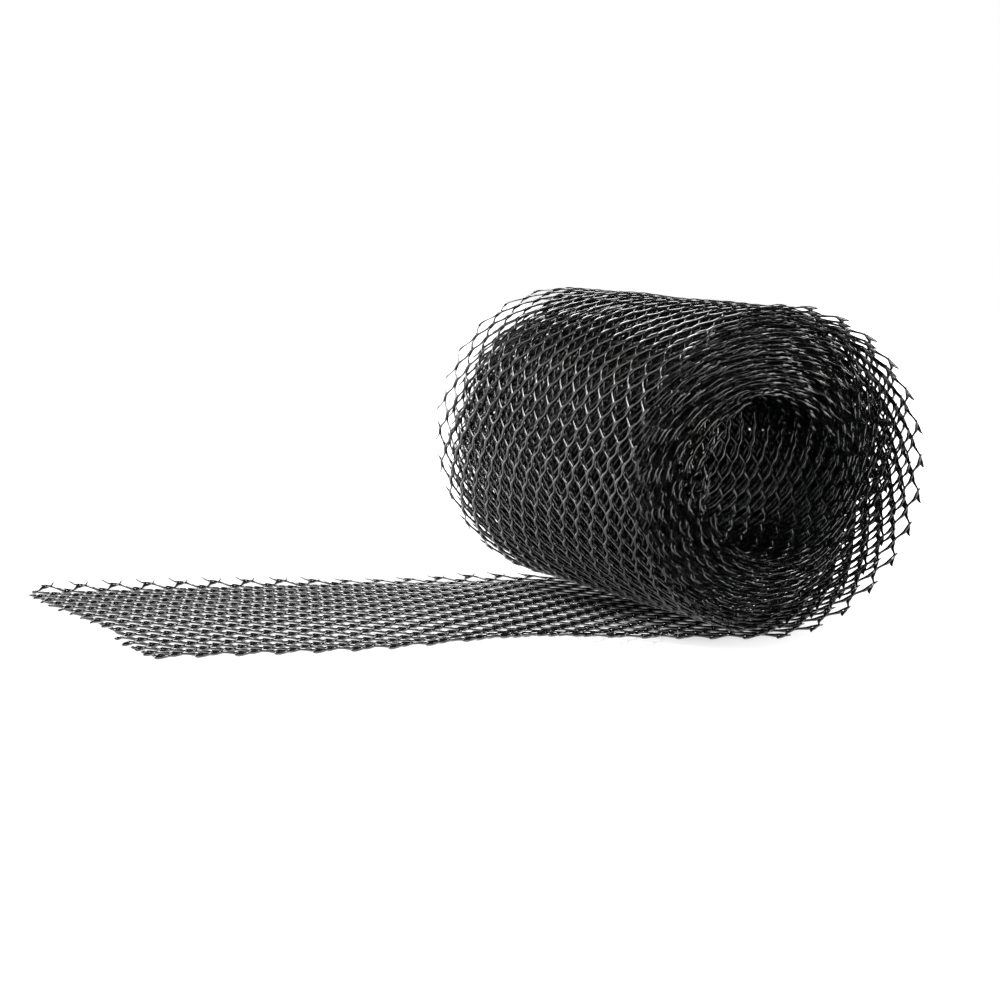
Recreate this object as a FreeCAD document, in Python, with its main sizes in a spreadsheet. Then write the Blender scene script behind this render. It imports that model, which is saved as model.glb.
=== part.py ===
"""A roll of black plastic gutter netting, lying on the floor with its free end unrolled.

One extruded strip is wound into a roll. Its side profile is a spiral seen from the end: the outermost
turn starts flat on the floor as the unrolled tail, passes under the roll at the origin, and winds up the
+X side, over the top and down the -X side, one pitch further in with each turn. The strip's width is the
roll's length, along Y. The net's strands and openings are finer than this model: here the strip is a
plain sheet, and the wound turns are closed into one wall, open only as a spiral gap at the two ends.
"""

import FreeCAD, Part
import enum
import math
import os
import Sketcher

LABEL = "netting_roll"

# Driving dimensions, in millimetres
SIZES = {
    "strip_width": 170,      # width of the netting strip, which is the length of the roll
    "strip_thickness": 0.9,  # thickness of the netting over its strands
    "turn_pitch": 1.35,      # from one turn to the next, in the roll's wall
    "turn_count": 22,        # turns in the roll's wall
    "bore_diameter": 53,     # clear hole through the middle of the roll
    "tail_length": 218,      # unrolled end, from under the roll's axis to its cut edge
    "gap_depth": 4,          # how far in from each end the gap between the turns is open
}

# The roll's outer radius and half a pitch, as expressions on the sheet
ROLL_RADIUS = "(Sizes.bore_diameter / 2 + Sizes.turn_count * Sizes.turn_pitch)"
HALF_PITCH = "Sizes.turn_pitch / 2"

# The way that every circle of a sketch faces
FACING = FreeCAD.Vector(0, 0, 1)


class Fixed(enum.IntEnum):
    """A sketch's own origin and upright axis, by the numbers that constraints know them by."""

    ORIGIN = -1
    UPRIGHT = -2


class At(enum.IntEnum):
    """Which point of a line or an arc a constraint holds."""

    START = 1
    END = 2
    CENTRE = 3


def point(x, z):
    """A point of the side profile: x along the floor, z up."""
    return FreeCAD.Vector(x, z, 0)


def make_sheet(doc):
    """The spreadsheet that holds the driving dimensions, one aliased cell each."""
    sheet = doc.addObject("Spreadsheet::Sheet", "Sizes")
    for row, (name, value) in enumerate(SIZES.items(), start=1):
        sheet.set(f"A{row}", name)
        sheet.set(f"B{row}", str(value))
        sheet.setAlias(f"B{row}", name)
    doc.recompute()
    return sheet


def roll_radius(sizes):
    """Outer radius of the roll: the bore and then every turn's pitch."""
    return sizes.bore_diameter / 2 + sizes.turn_count * sizes.turn_pitch


def side_sketch(body, name):
    """A sketch in the side view: its x is the model's X, its y is the model's Z, its normal is -Y."""
    plane = next(f for f in body.Origin.OriginFeatures if f.Role == "XZ_Plane")
    sketch = body.newObject("Sketcher::SketchObject", name)
    sketch.AttachmentSupport = (plane, [""])
    sketch.MapMode = "FlatFace"
    return sketch


def half_arc(sketch, centre, radius, right):
    """A half circle between its lowest and highest points, on the +X side or the -X side."""
    circle = Part.Circle(centre, FACING, radius)
    first = -math.pi / 2 if right else math.pi / 2
    return sketch.addGeometry(Part.ArcOfCircle(circle, first, first + math.pi))


def drive(sketch, constraint, expression):
    """Adds a dimension to a sketch and ties it to the sheet."""
    index = sketch.addConstraint(constraint)
    sketch.setExpression(f"Constraints[{index}]", expression)


def side_profile(body, sizes):
    """The closed outline of the wound strip and its tail, with the bore, seen along the roll's axis."""
    radius, pitch = roll_radius(sizes), sizes.turn_pitch
    sketch = side_sketch(body, "SideProfile")
    right = half_arc(sketch, point(0, radius), radius, right=True)
    left = half_arc(sketch, point(0, radius + pitch / 2), radius - pitch / 2, right=False)
    corners = [
        point(0, pitch),
        point(0, sizes.strip_thickness),
        point(-sizes.tail_length, sizes.strip_thickness),
        point(-sizes.tail_length, 0),
        point(0, 0),
    ]
    step, top, cut, underside = [
        sketch.addGeometry(Part.LineSegment(a, b)) for a, b in zip(corners, corners[1:])
    ]
    bore_radius = sizes.bore_diameter / 2
    bore = sketch.addGeometry(Part.Circle(point(0, radius + pitch / 4), FACING, bore_radius))

    # The outline is closed: up the right side, down the left side, and out along the tail and back
    outline = [right, left, step, top, cut, underside]
    joints = zip(outline, outline[1:] + outline[:1])
    sketch.addConstraint(
        [Sketcher.Constraint("Coincident", a, At.END, b, At.START) for a, b in joints]
        + [
            Sketcher.Constraint("Coincident", underside, At.END, Fixed.ORIGIN, At.START),
            Sketcher.Constraint("Horizontal", underside),
            Sketcher.Constraint("Horizontal", top),
            Sketcher.Constraint("Vertical", cut),
            Sketcher.Constraint("Vertical", step),
        ]
        + [Sketcher.Constraint("PointOnObject", g, At.CENTRE, Fixed.UPRIGHT) for g in (right, left, bore)]
        + [Sketcher.Constraint("PointOnObject", g, At.END, Fixed.UPRIGHT) for g in (right, left)]
    )
    drive(sketch, Sketcher.Constraint("Radius", right, radius), ROLL_RADIUS)
    drive(sketch, Sketcher.Constraint("Radius", left, radius - pitch / 2), f"{ROLL_RADIUS} - {HALF_PITCH}")
    drive(sketch, Sketcher.Constraint("Distance", underside, sizes.tail_length), "Sizes.tail_length")
    drive(sketch, Sketcher.Constraint("Distance", cut, sizes.strip_thickness), "Sizes.strip_thickness")
    axis = radius + pitch / 4
    bore_height = Sketcher.Constraint("DistanceY", Fixed.ORIGIN, At.START, bore, At.CENTRE, axis)
    drive(sketch, bore_height, f"{ROLL_RADIUS} + {HALF_PITCH} / 2")
    drive(sketch, Sketcher.Constraint("Radius", bore, bore_radius), "Sizes.bore_diameter / 2")
    return sketch


def spiral_chain(sketch, centres, radius, half_turns, pitch):
    """Half circles that wind inwards from the bottom about two centres in turn, joined end to end."""
    chain = []
    for k in range(half_turns):
        on_right = k % 2 == 0
        centre = centres[k % 2]
        arc = half_arc(sketch, point(0, centre["z"]), radius - k * pitch / 2, on_right)
        held = [
            Sketcher.Constraint("Coincident", arc, At.CENTRE, centre["point"], At.START),
            Sketcher.Constraint("PointOnObject", arc, At.END, Fixed.UPRIGHT),
        ]
        if chain:
            held.append(Sketcher.Constraint("Coincident", chain[-1], At.END, arc, At.START))
        else:
            held.append(Sketcher.Constraint("PointOnObject", arc, At.START, Fixed.UPRIGHT))
        sketch.addConstraint(held)
        chain.append(arc)
    return chain


def spiral_gap(body, sizes):
    """The gap between the turns: a spiral band from the nip over the tail in to the innermost turn."""
    radius, pitch = roll_radius(sizes), sizes.turn_pitch
    sketch = side_sketch(body, "SpiralGap")
    heights = [radius, radius + pitch / 2]
    centres = [
        {"z": z, "point": sketch.addGeometry(Part.Point(point(0, z)), True)} for z in heights
    ]
    half_turns = 2 * (int(sizes.turn_count) - 1)
    outer = spiral_chain(sketch, centres, radius - sizes.strip_thickness, half_turns, pitch)
    inner = spiral_chain(sketch, centres, radius - pitch, half_turns, pitch)
    first, last = sizes.strip_thickness, half_turns * pitch / 2
    mouth = sketch.addGeometry(Part.LineSegment(point(0, pitch), point(0, first)))
    end = sketch.addGeometry(Part.LineSegment(point(0, first + last), point(0, pitch + last)))
    sketch.addConstraint(
        [
            Sketcher.Constraint("Coincident", mouth, At.START, inner[0], At.START),
            Sketcher.Constraint("Coincident", mouth, At.END, outer[0], At.START),
            Sketcher.Constraint("Coincident", end, At.START, outer[-1], At.END),
            Sketcher.Constraint("Coincident", end, At.END, inner[-1], At.END),
        ]
        + [Sketcher.Constraint("PointOnObject", c["point"], At.START, Fixed.UPRIGHT) for c in centres]
    )
    low, high = [c["point"] for c in centres]
    low_height = Sketcher.Constraint("DistanceY", Fixed.ORIGIN, At.START, low, At.START, radius)
    drive(sketch, low_height, ROLL_RADIUS)
    drive(sketch, Sketcher.Constraint("DistanceY", low, At.START, high, At.START, pitch / 2), HALF_PITCH)
    outer_radius = Sketcher.Constraint("Radius", outer[0], radius - sizes.strip_thickness)
    drive(sketch, outer_radius, f"{ROLL_RADIUS} - Sizes.strip_thickness")
    inner_radius = Sketcher.Constraint("Radius", inner[0], radius - pitch)
    drive(sketch, inner_radius, f"{ROLL_RADIUS} - Sizes.turn_pitch")
    return sketch


def make_roll(doc, sizes):
    """The roll and its tail: the side profile padded to the strip's width, with a gap cut in both ends."""
    body = doc.addObject("PartDesign::Body", "Roll")
    body.Label = LABEL

    pad = body.newObject("PartDesign::Pad", "WoundStrip")
    pad.Profile = side_profile(body, sizes)
    pad.SideType = "Symmetric"
    pad.setExpression("Length", "Sizes.strip_width")
    doc.recompute()

    gap = spiral_gap(body, sizes)
    gap.setExpression("AttachmentOffset.Base.z", "Sizes.strip_width / 2")
    near_gap = body.newObject("PartDesign::Pocket", "NearEndGap")
    near_gap.Profile = gap
    near_gap.setExpression("Length", "Sizes.gap_depth")
    doc.recompute()

    both_gaps = body.newObject("PartDesign::Mirrored", "FarEndGap")
    both_gaps.Originals = [near_gap]
    middle = next(f for f in body.Origin.OriginFeatures if f.Role == "XZ_Plane")
    both_gaps.MirrorPlane = (middle, [""])
    body.Tip = both_gaps
    doc.recompute()

    gap_volume = gap.Shape.Wires[0].Length / 2 * (sizes.turn_pitch - sizes.strip_thickness) * sizes.gap_depth
    for before, after in ((pad, near_gap), (near_gap, both_gaps)):
        removed = before.Shape.Volume - after.Shape.Volume
        if abs(removed - gap_volume) > 0.01 * gap_volume:
            raise RuntimeError(f"{after.Label} removed {removed:.0f} mm3 and not {gap_volume:.0f} mm3")
    return body


def check(doc, parts):
    """Stops the script if any object failed to compute or any sub-part isn't a valid solid."""
    for item in doc.Objects:
        if "Invalid" in item.State or "Error" in item.State:
            raise RuntimeError(f"{item.Label} failed: {item.State}")
    for part in parts:
        if part.Shape.isNull() or not part.Shape.isValid() or len(part.Shape.Solids) != 1:
            raise RuntimeError(f"{part.Label} isn't one valid solid")


def main():
    doc = FreeCAD.newDocument("GutterNetting")
    sizes = make_sheet(doc)
    parts = [make_roll(doc, sizes)]
    check(doc, parts)
    os.makedirs("parts", exist_ok=True)
    for part in parts:
        part.Shape.exportStep(f"parts/{part.Label}.step")
        print(part.Label, round(part.Shape.Volume), "mm3", part.Shape.BoundBox)


main()
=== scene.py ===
import bpy
import numpy as np
from mathutils import Matrix, Vector


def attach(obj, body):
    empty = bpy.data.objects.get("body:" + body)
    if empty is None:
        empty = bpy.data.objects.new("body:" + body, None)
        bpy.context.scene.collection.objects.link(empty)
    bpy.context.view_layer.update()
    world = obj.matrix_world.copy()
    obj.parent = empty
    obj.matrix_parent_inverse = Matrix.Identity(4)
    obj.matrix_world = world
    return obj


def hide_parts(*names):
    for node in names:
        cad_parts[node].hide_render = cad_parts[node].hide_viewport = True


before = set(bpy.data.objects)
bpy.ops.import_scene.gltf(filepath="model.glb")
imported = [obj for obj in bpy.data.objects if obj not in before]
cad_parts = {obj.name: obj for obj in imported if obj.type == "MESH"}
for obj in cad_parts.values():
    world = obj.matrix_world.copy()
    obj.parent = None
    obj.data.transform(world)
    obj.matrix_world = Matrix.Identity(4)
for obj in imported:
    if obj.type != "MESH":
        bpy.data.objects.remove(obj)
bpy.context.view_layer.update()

# The wound strip: one length of black polyethylene gutter netting, coiled from its core outwards, with
# its last stretch unrolled on the floor. Nothing holds it, so its outer turns have sprung loose on the
# near right and the far left, while the turns inside them lie close. Lengths are in millimetres.
MM = 0.001
STRIP_WIDTH = 170.0
# From the roll's outside to the middle of the net, and what keeps the welds clear of the floor
NET_MIDDLE = 0.85
FLOOR_CLEARANCE = 0.15
OUTER_RADIUS = 56.3
# The bore is an upright oval, a little low, whose middle drifts towards +X from the near end to the far end
BORE_RADIUS = 26.8
BORE_OVAL = 1.7
BORE_SHIFT_X = -0.6
BORE_SHIFT_Z = -2.1
BORE_LEAN = 5.0
TURNS = 22
STEPS_PER_TURN = 300
TAIL_LENGTH = 218.0
# How far the tail's free end is swung to the near side
TAIL_ASIDE = 4.5
# Slack between turns, from the outermost inwards
SLACK_RIGHT = np.array([4.2, 4.0, 3.6, 3.2, 2.4, 1.4, 0.7])
SLACK_LEFT = np.array([4.6, 2.2, 1.0, 0.4])


def bump(angle, centre, half_width):
    """A smooth hill over an angle in degrees: a squared cosine, one at its centre, zero past its width."""
    away = (angle - centre + 180.0) % 360.0 - 180.0
    return np.where(np.abs(away) < half_width, np.cos(0.5 * np.pi * away / half_width) ** 2, 0.0)


def nearness(y):
    """One at the strip's near edge, falling evenly to zero at its far edge."""
    return np.clip(0.5 - y / STRIP_WIDTH, 0.0, 1.0)


def slack_sum(slack, turn):
    """Slack added up from the outside to a turn number that needn't be whole."""
    return np.interp(turn, np.arange(len(slack) + 1), np.concatenate(([0.0], np.cumsum(slack))))


def roll_outline(angle, y):
    """Outer radius by angle from the bottom: a circle and hills where the sprung turns stand proud.

    The hill on the right grows with depth from the near edge, a small one on the upper right towards the
    near edge, and one on the left towards the far edge. The near edge itself curls out over the top.
    """
    near = nearness(y)
    depth = y + 0.5 * STRIP_WIDTH
    spread = 1.0 - np.exp(-((depth / 18.0) ** 2))
    right = (2.0 + 4.0 * spread) * bump(angle, 100.0, 66.0)
    proud = 0.6 * near * bump(angle, 140.0, 50.0)
    far_left = 4.4 * bump(angle, 228.0, 115.0)
    curl = 1.5 * np.exp(-((depth / 5.0) ** 2)) * bump(angle, 166.0, 46.0)
    return OUTER_RADIUS + right + proud + (1.0 - near) * far_left + curl


def turn_radius(winding, y):
    """Radius of the strip's middle by how far it has wound, in degrees from the bottom towards +X.

    It is the outline, less the even pitch of the turns so far, less the slack of the loose ones. The
    even pitch is what is left of the wall once the slack is taken, so the last turn ends at the bore,
    which is a circle with a double-angle cosine for its oval and single ones for its shift.
    """
    angle = winding % 360.0
    turn = winding / 360.0
    near = nearness(y)
    right = bump(angle, 72.0, 95.0) * (0.4 + 0.6 * near**4)
    left = bump(angle, 235.0, 95.0) * (0.05 + 0.95 * (1.0 - near) ** 1.5)
    outline = roll_outline(angle, y)
    turned = np.radians(angle)
    shift_x = BORE_SHIFT_X + BORE_LEAN * (1.0 - near)
    oval = BORE_RADIUS + BORE_OVAL * np.cos(2 * turned)
    bore = oval + shift_x * np.sin(turned) - BORE_SHIFT_Z * np.cos(turned)
    loose = right * SLACK_RIGHT.sum() + left * SLACK_LEFT.sum()
    pitch = (outline - bore - loose) / TURNS
    slack = right * slack_sum(SLACK_RIGHT, turn) + left * slack_sum(SLACK_LEFT, turn)
    return outline - NET_MIDDLE - pitch * turn - slack


# Length wound by each angle: the sum of short straight steps along the spiral in the middle of the strip
WINDINGS = np.linspace(0.0, 360.0 * TURNS, STEPS_PER_TURN * TURNS)
RADII = turn_radius(WINDINGS, 0.0)
STEPS = np.hypot(np.radians(np.diff(WINDINGS)) * 0.5 * (RADII[1:] + RADII[:-1]), np.diff(RADII))
WOUND_LENGTHS = np.concatenate(([0.0], np.cumsum(STEPS)))
STRIP_LENGTH = TAIL_LENGTH + WOUND_LENGTHS[-1]


def tail_lift(x, y):
    """Height of the tail over the floor: an arch across its width, and edges that curl up as squares.

    The far edge's curl is least midway along the tail, and the near edge's is greatest there, where the
    near side also swells up. All of it fades where the roll's weight holds the tail down.
    """
    free = np.clip(-x / 40.0, 0.0, 1.0)
    arch = 0.7 * np.maximum(0.0, 1.0 - (y / 74.0) ** 2)
    midway = np.exp(-(((x + 92.0) / 36.0) ** 2))
    far_height = 3.2 - 2.4 * np.exp(-(((x + 80.0) / 35.0) ** 2))
    far_curl = np.maximum(0.0, (y - 70.0) / 15.0) ** 2 * far_height
    near_curl = np.maximum(0.0, (-55.0 - y) / 30.0) ** 2 * (1.1 + 1.8 * midway)
    swell = 1.1 * midway * nearness(y) ** 1.5
    return free * (arch + far_curl + near_curl + swell)


def on_strip(along, y):
    """Places on the strip, by length from its free end and place across its width.

    The tail lies along X on the floor, swung a little to the near side. From under the roll's axis on,
    the strip winds up the +X side, over the top and inwards, at the turn's radius. Slow sines keep the
    net from lying too true: a ripple off its surface, a drift along it, a sway across it, and a
    sideways shuffle from turn to turn.
    """
    ripple = 0.18 * np.sin(0.093 * along + 0.071 * y) + 0.14 * np.sin(0.041 * along - 0.118 * y + 1.0)
    drift = 0.30 * np.sin(0.057 * along + 0.083 * y + 0.4)
    sway = 0.35 * np.sin(0.049 * along - 0.061 * y + 2.0)
    along = along + drift
    flat_x = along - TAIL_LENGTH
    winding = np.interp(flat_x, WOUND_LENGTHS, WINDINGS)
    turned = np.radians(winding)
    radius = turn_radius(winding, y) + ripple * np.minimum(1.0, winding / 60.0)
    shuffle = 1.3 * np.sin(2.4 * winding / 360.0) * np.minimum(1.0, winding / 360.0)
    wound = flat_x > 0.0
    x = np.where(wound, radius * np.sin(turned), flat_x)
    z = np.where(wound, OUTER_RADIUS - radius * np.cos(turned), NET_MIDDLE + tail_lift(flat_x, y))
    aside = TAIL_ASIDE * np.minimum(0.0, flat_x) / TAIL_LENGTH
    return np.stack((x, y + sway + shuffle + aside, z + FLOOR_CLEARANCE), axis=-1)


# The netting: black polyethylene, extruded as two crossing sets of strands that weld where they meet.
# One set lies on the outside of the roll and runs on over the welds, the other on the inside. Both bend
# to run along the strip at a weld, so the openings are lens-shaped cells between flat pads.
CELL_LENGTH = 12.85
COLUMNS = 30
# Cut stubs past the last welds and the width kept for the far ones, in columns
NEAR_STUB = 0.42
FAR_STUB = 0.6
FAR_MARGIN = 0.9
# Rows of welds that aren't quite square to the strip
ROW_SKEW = 0.045
STRAND_WIDTH = 0.76
STRAND_DEPTH = 0.80
WELD_WIDTH = 1.20
WELD_DEPTH = 0.58
# How far a weld's web reaches along a strand, and how far past the crossing it lies, in columns
WELD_REACH = 0.24
WELD_SHIFT = 0.14
# Each set's distance from the middle of the net
LAYER_OFFSET = 0.20


def pulled(count):
    """Columns crossed, pulled by two sines so that a strand stays by its weld, then steps quickly across."""
    turn = 2 * np.pi * count
    return count - 0.85 * np.sin(turn) / (2 * np.pi) + 0.10 * np.sin(2 * turn) / (4 * np.pi)


COLUMN_STEP = STRIP_WIDTH / (COLUMNS + pulled(NEAR_STUB) + FAR_MARGIN)
NEAR_COLUMN = -0.5 * STRIP_WIDTH + pulled(NEAR_STUB) * COLUMN_STEP


def across_strip(count):
    """Place across the strip after so many columns, counted from the weld nearest to the near edge."""
    return NEAR_COLUMN + COLUMN_STEP * pulled(count)


def along_strip(number, lean, count):
    """Length along the strip: half a cell for each column crossed, to or fro, with the rows' skew."""
    return 0.5 * CELL_LENGTH * (number + lean * count) - ROW_SKEW * across_strip(count)


def cut_line(y):
    """Where the strip's free end was cut: a shallow bite by the middle, and a far corner that slants back."""
    return 5.0 * np.exp(-(((y + 20.0) / 20.0) ** 2)) + 14.0 * np.maximum(0.0, (y - 68.0) / 17.0) ** 2


def count_at(number, lean, limit):
    """Columns crossed where a strand meets a line across the strip, found by halving."""
    low = np.full(number.shape, -1.0)
    high = np.full(number.shape, COLUMNS + 2.0)
    for _ in range(24):
        middle = 0.5 * (low + high)
        short = lean * (along_strip(number, lean, middle) - limit(across_strip(middle))) < 0.0
        low = np.where(short, middle, low)
        high = np.where(short, high, middle)
    return high


def strand_tubes(numbers, lean, sides, counts, gauge, seed):
    """Vertices and faces of one set of strands, each a closed tube from the near edge to the far edge.

    A strand's line is a count of columns crossed. Its section is an ellipse, lying in the net's plane and
    swollen into a web beside each weld. The gauge scales its width, and its depth twice over. Where the
    strip's free end or core end is met, the strand is cut. Cut tips taper as a square root, and the far
    edge's stubs are drawn thin.
    """
    draw = np.random.default_rng(seed)
    number = numbers[:, None].astype(float)
    # On one stretch of the outer turn the far edge was trimmed half a column wider
    far_along = along_strip(number, lean, COLUMNS)
    far_trim = 0.52 * np.exp(-(((far_along - 405.0) / 64.0) ** 4))
    low = -NEAR_STUB - 0.06 * lean + draw.uniform(-0.05, 0.05, number.shape)
    high = COLUMNS + FAR_STUB + far_trim + draw.uniform(-0.05, 0.05, number.shape)
    ragged = draw.uniform(-1.2, 1.2, number.shape)
    free_end = count_at(number, lean, lambda y: cut_line(y) + ragged)
    core_end = count_at(number, lean, lambda y: np.full_like(y, STRIP_LENGTH))
    low = np.maximum(low, free_end if lean > 0 else core_end)
    high = np.minimum(high, core_end if lean > 0 else free_end)
    kept = (high - low)[:, 0] > 0.15
    number, low, high = number[kept], low[kept], high[kept]
    count = np.clip(counts[None, :], low, high)

    def place(count_shift, side_shift, along_shift):
        """Places on the strip, moved a little along the strand, across the strip or along it."""
        at = count + count_shift
        return on_strip(along_strip(number, lean, at) + along_shift, across_strip(at) + side_shift)

    middle = place(0.0, 0.0, 0.0)
    forward = place(0.02, 0.0, 0.0) - place(-0.02, 0.0, 0.0)
    outward = np.cross(
        place(0.0, 0.0, 0.2) - place(0.0, 0.0, -0.2),
        place(0.0, 0.2, 0.0) - place(0.0, -0.2, 0.0),
    )
    forward /= np.linalg.norm(forward, axis=-1, keepdims=True)
    outward /= -np.linalg.norm(outward, axis=-1, keepdims=True)
    sideways = np.cross(forward, outward)
    sideways /= np.linalg.norm(sideways, axis=-1, keepdims=True)
    upward = np.cross(sideways, forward)

    beside = count + lean * WELD_SHIFT
    weld = np.exp(-(((beside - np.round(beside)) / WELD_REACH) ** 2))[..., None, None]
    angle = 2 * np.pi * (np.arange(sides) + 0.5) / sides
    to_end = np.clip(np.minimum(count - low, high - count) / 0.12, 0.0, 1.0)
    drawn_thin = 1.0 - 0.35 * np.clip(count - COLUMNS + 0.6, 0.0, 1.0)
    girth = 0.5 * gauge * (drawn_thin * (0.25 + 0.75 * np.sqrt(to_end)))[..., None, None]
    wide = girth * (STRAND_WIDTH + WELD_WIDTH * weld) * np.cos(angle)[:, None]
    deep = gauge * girth * (STRAND_DEPTH + WELD_DEPTH * weld) * np.sin(angle)[:, None]
    middle = middle + lean * gauge * LAYER_OFFSET * outward
    points = middle[..., None, :] + wide * sideways[..., None, :] + deep * upward[..., None, :]

    strands, rings = count.shape
    ring = np.arange(strands * rings).reshape(strands, rings)
    joined = np.diff(count, axis=1) > 1e-6
    here, there = ring[:, :-1][joined], ring[:, 1:][joined]
    corner = np.arange(sides)
    next_corner = (corner + 1) % sides
    quads = np.stack(
        (
            here[:, None] * sides + corner,
            here[:, None] * sides + next_corner,
            there[:, None] * sides + next_corner,
            there[:, None] * sides + corner,
        ),
        axis=-1,
    ).reshape(-1, 4)
    first_ring = ring[np.arange(strands), np.argmax(joined, axis=1)]
    last_ring = ring[np.arange(strands), rings - 1 - np.argmax(joined[:, ::-1], axis=1)]
    near_caps = first_ring[:, None] * sides + corner[::-1]
    far_caps = last_ring[:, None] * sides + corner
    caps = np.concatenate((near_caps, far_caps))
    return points.reshape(-1, 3), quads, caps


def netting_piece(name, points, quads, caps, material):
    """One joined mesh of strands, in metres, riding on the part in place of its solid roll."""
    used, corner_index = np.unique(np.concatenate((quads.ravel(), caps.ravel())), return_inverse=True)
    loops = corner_index.astype(np.int32)
    sizes = np.concatenate((np.full(len(quads), 4), np.full(len(caps), caps.shape[1]))).astype(np.int32)
    starts = np.concatenate(([0], np.cumsum(sizes)[:-1])).astype(np.int32)
    mesh = bpy.data.meshes.new(name)
    mesh.vertices.add(len(used))
    mesh.vertices.foreach_set("co", (points[used] * MM).astype(np.float32).ravel())
    mesh.loops.add(len(loops))
    mesh.loops.foreach_set("vertex_index", loops)
    mesh.polygons.add(len(sizes))
    mesh.polygons.foreach_set("loop_start", starts)
    smooth = np.ones(len(sizes), dtype=bool)
    smooth[len(quads):] = False
    mesh.polygons.foreach_set("use_smooth", smooth)
    mesh.update(calc_edges=True)
    mesh.validate()
    mesh.materials.append(material)
    piece = bpy.data.objects.new(name, mesh)
    bpy.context.scene.collection.objects.link(piece)
    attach(piece, "root")
    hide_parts("netting_roll")
    return piece


def linear(hex_colour):
    """An sRGB hex colour as linear red, green, blue and a full alpha."""
    srgb = np.array([int(hex_colour[i : i + 2], 16) for i in (1, 3, 5)]) / 255.0
    return (*np.where(srgb <= 0.04045, srgb / 12.92, ((srgb + 0.055) / 1.055) ** 2.4), 1.0)


def add_node(tree, kind, settings=None, **links):
    """Adds a node, sets its properties or sockets by name, and links its named inputs."""
    node = tree.nodes.new(kind)
    for key, value in (settings or {}).items():
        if hasattr(node, key):
            setattr(node, key, value)
        else:
            node.inputs[key].default_value = value
    for key, source in links.items():
        tree.links.new(source, node.inputs[key.replace("_", " ")])
    return node


# Extruded black polyethylene: carbon-black plastic, a little waxy, drawn through a die. The eye gets a
# deep black with a satin shine that breaks up along the strands. Turns under others get a duller copy, a
# painted shade.
def polyethylene(name, shine):
    """A black plastic, its shine the given share of the full one. A low share gives a duller copy, used as
    painted shade.

    Its tone shifts over blotches about 11 mm across. Its gloss and relief change over marks about 0.8 mm
    long, which is coarser than a die leaves them, so that they show.
    """
    plastic = bpy.data.materials.new(name)
    plastic.use_nodes = True
    tree = plastic.node_tree
    tree.nodes.clear()
    spot = add_node(tree, "ShaderNodeTexCoord").outputs["Object"]
    blotches = add_node(tree, "ShaderNodeTexNoise", {"Scale": 90.0, "Detail": 3.0}, Vector=spot)
    marks = add_node(tree, "ShaderNodeTexNoise", {"Scale": 1300.0, "Detail": 2.0}, Vector=spot)
    drawn = marks.outputs["Fac"]
    tone = add_node(tree, "ShaderNodeValToRGB", Fac=blotches.outputs["Fac"])
    tone.color_ramp.elements[0].position = 0.35
    tone.color_ramp.elements[0].color = linear("#030303")
    tone.color_ramp.elements[1].position = 0.72
    tone.color_ramp.elements[1].color = linear("#090908")
    gloss = add_node(tree, "ShaderNodeMapRange", {"To Min": 0.10, "To Max": 0.22}, Value=drawn)
    relief = add_node(tree, "ShaderNodeBump", {"Strength": 0.32, "Distance": 0.0001}, Height=drawn)
    surface = add_node(
        tree,
        "ShaderNodeBsdfPrincipled",
        {"IOR": 1.52, "Specular IOR Level": shine, "Coat Weight": 0.4 * shine, "Coat Roughness": 0.05},
        Base_Color=tone.outputs["Color"],
        Roughness=gloss.outputs["Result"],
        Normal=relief.outputs["Normal"],
    )
    add_node(tree, "ShaderNodeOutputMaterial", Surface=surface.outputs["BSDF"])
    return plastic


full_shine_plastic = polyethylene("extruded_black_polyethylene", 1.0)
# The duller copy is painted shade: it dims the shine of turns lying under others, where shade would fall.
shade_dulled_plastic = polyethylene("shade_dulled_black_polyethylene", 0.45)


def turn_start(turn):
    """Length along the strip at which a turn starts: the tail and the turns outside it."""
    return WOUND_LENGTHS[round(STEPS_PER_TURN * turn)] + TAIL_LENGTH


# Groups of strands by how closely they are seen: where they start along the strip, sides of a tube, how
# many rings a column gets near the strip's edges and within it, the gauge, and the plastic. The inner
# turns are drawn finer, and those just under a turn that is seen get the duller copy, painted shade so its
# gaps stay dark.
# Strands slant, so the first and last groups also hold strands with their middles past the strip's ends.
PAST_ENDS = 45.0 * CELL_LENGTH
GROUPS = {
    "netting_tail": (-PAST_ENDS, 6, 6, 6, 1.05, full_shine_plastic),
    "netting_outer_turn": (turn_start(0), 6, 6, 6, 0.92, full_shine_plastic),
    "netting_loose_turns": (turn_start(1), 6, 4, 4, 0.97, shade_dulled_plastic),
    "netting_middle_turns": (turn_start(5), 4, 4, 1, 0.85, full_shine_plastic),
    "netting_core_turns": (turn_start(19), 6, 4, 3, 0.9, shade_dulled_plastic),
    "netting_innermost_turn": (turn_start(20.8), 6, 6, 6, 0.78, full_shine_plastic),
}
EDGE_COLUMNS = 4
group_starts = [row[0] for row in GROUPS.values()] + [STRIP_LENGTH + PAST_ENDS]


def ring_counts(edge_rings, inner_rings):
    """Columns crossed at each ring of a strand: close together near the edges, further apart within."""
    near = np.arange(-1.0, EDGE_COLUMNS, 1.0 / edge_rings)
    within = np.arange(EDGE_COLUMNS, COLUMNS - EDGE_COLUMNS, 1.0 / inner_rings)
    far = np.arange(COLUMNS - EDGE_COLUMNS, COLUMNS + 1.501, 1.0 / edge_rings)
    return np.unique(np.round(np.concatenate((near, within, far)), 6))


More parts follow.
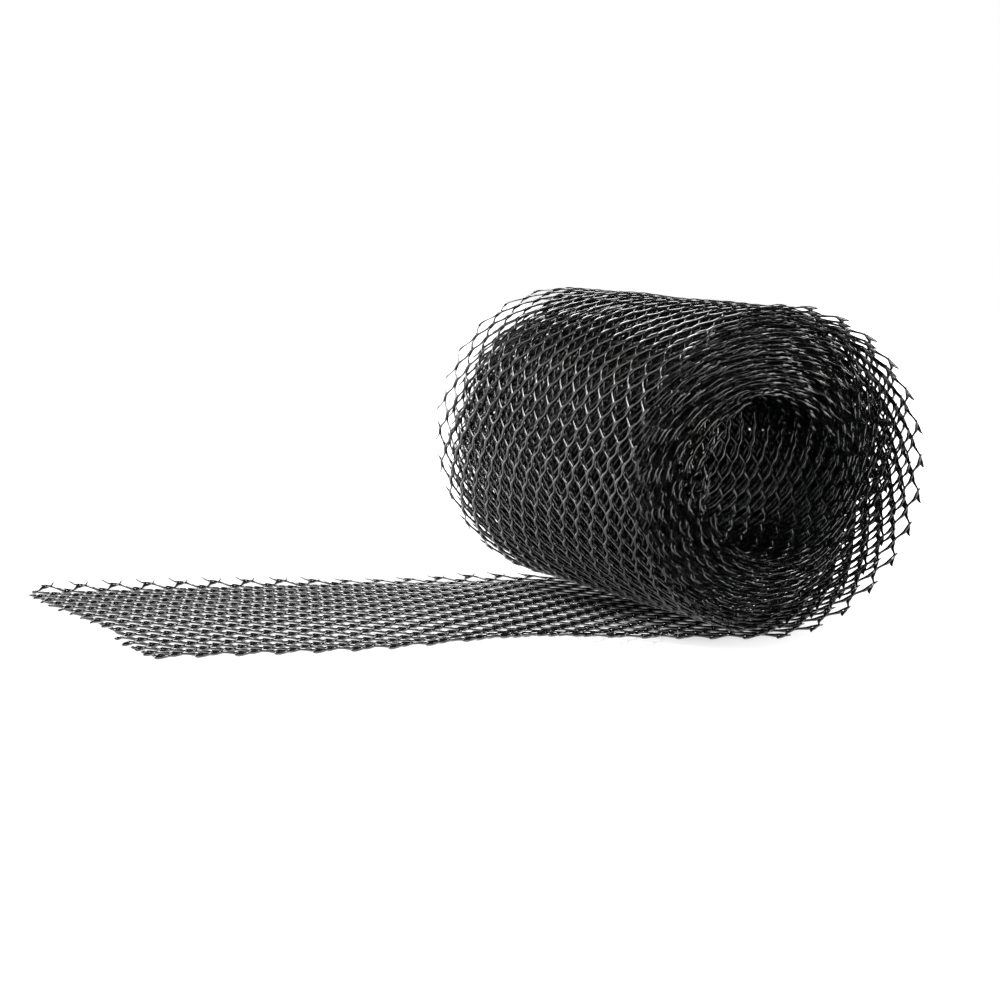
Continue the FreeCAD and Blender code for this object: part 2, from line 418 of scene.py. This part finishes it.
for group, start, stop in zip(GROUPS, group_starts[:-1], group_starts[1:]):
    _, sides, edge_rings, inner_rings, gauge, plastic = GROUPS[group]
    counts = ring_counts(edge_rings, inner_rings)
    for layer, lean in (("outside", 1), ("inside", -1)):
        # Strands are numbered by where their middles lie, so a group holds one stretch of both layers
        first, last = (int(np.ceil(s / CELL_LENGTH)) for s in (start, stop))
        numbers = 2 * np.arange(first, last) - lean * COLUMNS // 2 + (COLUMNS // 2) % 2
        points, quads, caps = strand_tubes(numbers, lean, sides, counts, gauge, seed=7 + lean)
        netting_piece(f"{group}_{layer}", points, quads, caps, plastic)

# The floor: plain white studio paper, laid flat under the netting. It looks white to the camera and in the
# plastic's shine, with a faint shadow by the netting and a painted shadow, a darker patch under the roll's
# belly.
FLOOR_REACH = 4.0
floor_corners = FLOOR_REACH * np.array([[-1, -1, 0], [1, -1, 0], [1, 1, 0], [-1, 1, 0]])
floor_mesh = bpy.data.meshes.new("floor")
floor_mesh.from_pydata(floor_corners.tolist(), [], [(0, 1, 2, 3)])
floor = bpy.data.objects.new("floor", floor_mesh)
bpy.context.scene.collection.objects.link(floor)
# The painted shadow under the roll's belly: the middle and size of its oval, and how dark it gets
BELLY = (-0.022, 0.0, 0.0)
BELLY_SIZE = (0.055, 0.095, 1.0)
MIDDLE = (-0.09, 0.0, 0.0)
PAINTED_BELLY_SHADOW = {"From Min": 0.2, "From Max": 1.2, "To Min": 0.3, "To Max": 1.0}
FAR_GLOW = {"From Min": 0.1, "From Max": 0.35, "To Min": 0.92, "To Max": 1.7}
paper = bpy.data.materials.new("white_studio_paper")
paper.use_nodes = True
tree = paper.node_tree
tree.nodes.clear()
ray = add_node(tree, "ShaderNodeLightPath").outputs
seen = add_node(tree, "ShaderNodeMath", {"operation": "MAXIMUM"})
tree.links.new(ray["Is Camera Ray"], seen.inputs[0])
tree.links.new(ray["Is Glossy Ray"], seen.inputs[1])
floor_spot = add_node(tree, "ShaderNodeTexCoord").outputs["Object"]
# Two brightnesses by distance: a painted shadow falls in an oval under the roll's belly, and a glow rises to
# white and past it far off
brightness = []
for centre, stretch, ramp in ((BELLY, BELLY_SIZE, PAINTED_BELLY_SHADOW), (MIDDLE, (1.0, 1.0, 1.0), FAR_GLOW)):
    settings = {"vector_type": "TEXTURE", "Location": centre, "Scale": stretch}
    place = add_node(tree, "ShaderNodeMapping", settings, Vector=floor_spot)
    distance = add_node(tree, "ShaderNodeVectorMath", {"operation": "LENGTH"})
    tree.links.new(place.outputs["Vector"], distance.inputs[0])
    brightness.append(add_node(tree, "ShaderNodeMapRange", ramp, Value=distance.outputs["Value"]))
white = add_node(tree, "ShaderNodeMath", {"operation": "MULTIPLY"})
tree.links.new(brightness[0].outputs["Result"], white.inputs[0])
tree.links.new(brightness[1].outputs["Result"], white.inputs[1])
matt = add_node(tree, "ShaderNodeBsdfDiffuse", {"Color": linear("#909090")})
glow = add_node(tree, "ShaderNodeEmission", {"Color": linear("#ffffff")}, Strength=white.outputs["Value"])
lit = add_node(tree, "ShaderNodeAddShader")
tree.links.new(matt.outputs[0], lit.inputs[0])
tree.links.new(glow.outputs[0], lit.inputs[1])
plain = add_node(tree, "ShaderNodeBsdfDiffuse", {"Color": linear("#808080")})
paper_mix = add_node(tree, "ShaderNodeMixShader", Fac=seen.outputs[0])
tree.links.new(plain.outputs[0], paper_mix.inputs[1])
tree.links.new(lit.outputs[0], paper_mix.inputs[2])
add_node(tree, "ShaderNodeOutputMaterial", Surface=paper_mix.outputs[0])
floor_mesh.materials.append(paper)

# The light: a surround that the camera sees white and the netting sees dim, and five soft lamps: a wide one
# overhead to the left, a tall one behind on the left, a broad backdrop behind, a weak one on the left, and
# a small one in front. Each row gives a lamp's place and size in metres and its power in watts.
world = bpy.data.worlds.new("studio")
bpy.context.scene.world = world
world.use_nodes = True
tree = world.node_tree
tree.nodes.clear()
ray = add_node(tree, "ShaderNodeLightPath").outputs
direct = add_node(tree, "ShaderNodeBackground", {"Color": linear("#ffffff"), "Strength": 1.0})
around = add_node(tree, "ShaderNodeBackground", {"Color": linear("#ffffff"), "Strength": 0.06})
sky_mix = add_node(tree, "ShaderNodeMixShader", Fac=ray["Is Camera Ray"])
tree.links.new(around.outputs[0], sky_mix.inputs[1])
tree.links.new(direct.outputs[0], sky_mix.inputs[2])
add_node(tree, "ShaderNodeOutputWorld", Surface=sky_mix.outputs[0])

LIT_POINT = Vector((0.0, 0.0, 0.05))
LAMPS = {
    "overhead": ((-0.50, 0.46, 1.12), (0.80, 0.4), 20.0),
    "tall": ((-0.5, 1.15, 0.5), (0.4, 1.0), 1.2),
    "backdrop": ((0.3, 1.5, 0.42), (2.0, 0.8), 10.0),
    "left": ((-1.3, 0.35, 0.45), (0.6, 0.6), 1.8),
    "front": ((-0.5, -1.2, 0.5), (0.3, 0.3), 10.0),
}
for name, (spot, (width, height), power) in LAMPS.items():
    lamp = bpy.data.lights.new(name, "AREA")
    lamp.shape = "RECTANGLE"
    lamp.size = width
    lamp.size_y = height
    lamp.energy = power
    holder = bpy.data.objects.new(name, lamp)
    holder.location = spot
    holder.rotation_euler = (LIT_POINT - Vector(spot)).to_track_quat("-Z", "Y").to_euler()
    bpy.context.scene.collection.objects.link(holder)

# The camera: a long lens, low and to the left of the roll's near end, tipped a little to one side. Its
# place is in millimetres, and its focal length in pixels of an image of 1000 by 1000.
CAMERA_PLACE = np.array([-461.5, -905.0, 134.0]) * MM
CAMERA_YAW, CAMERA_PITCH, CAMERA_ROLL = np.radians([23.67, 5.45, 1.74])
FOCAL_PIXELS = 2805.0
IMAGE_PIXELS = 1000.0
look = np.array(
    [
        np.sin(CAMERA_YAW) * np.cos(CAMERA_PITCH),
        np.cos(CAMERA_YAW) * np.cos(CAMERA_PITCH),
        -np.sin(CAMERA_PITCH),
    ]
)
level = np.array([np.cos(CAMERA_YAW), -np.sin(CAMERA_YAW), 0.0])
up = np.cross(level, look)
right = np.cos(CAMERA_ROLL) * level + np.sin(CAMERA_ROLL) * up
top = -np.sin(CAMERA_ROLL) * level + np.cos(CAMERA_ROLL) * up
pose = np.eye(4)
pose[:3, :] = np.column_stack((right, top, -look, CAMERA_PLACE))
lens = bpy.data.cameras.new("camera")
lens.sensor_width = 36.0
lens.lens = FOCAL_PIXELS / IMAGE_PIXELS * lens.sensor_width
lens.clip_start = 0.05
lens.clip_end = 20.0
camera = bpy.data.objects.new("camera", lens)
camera.matrix_world = Matrix(pose.tolist())
bpy.context.scene.collection.objects.link(camera)
bpy.context.scene.camera = camera
bpy.context.scene.view_settings.view_transform = "Standard"
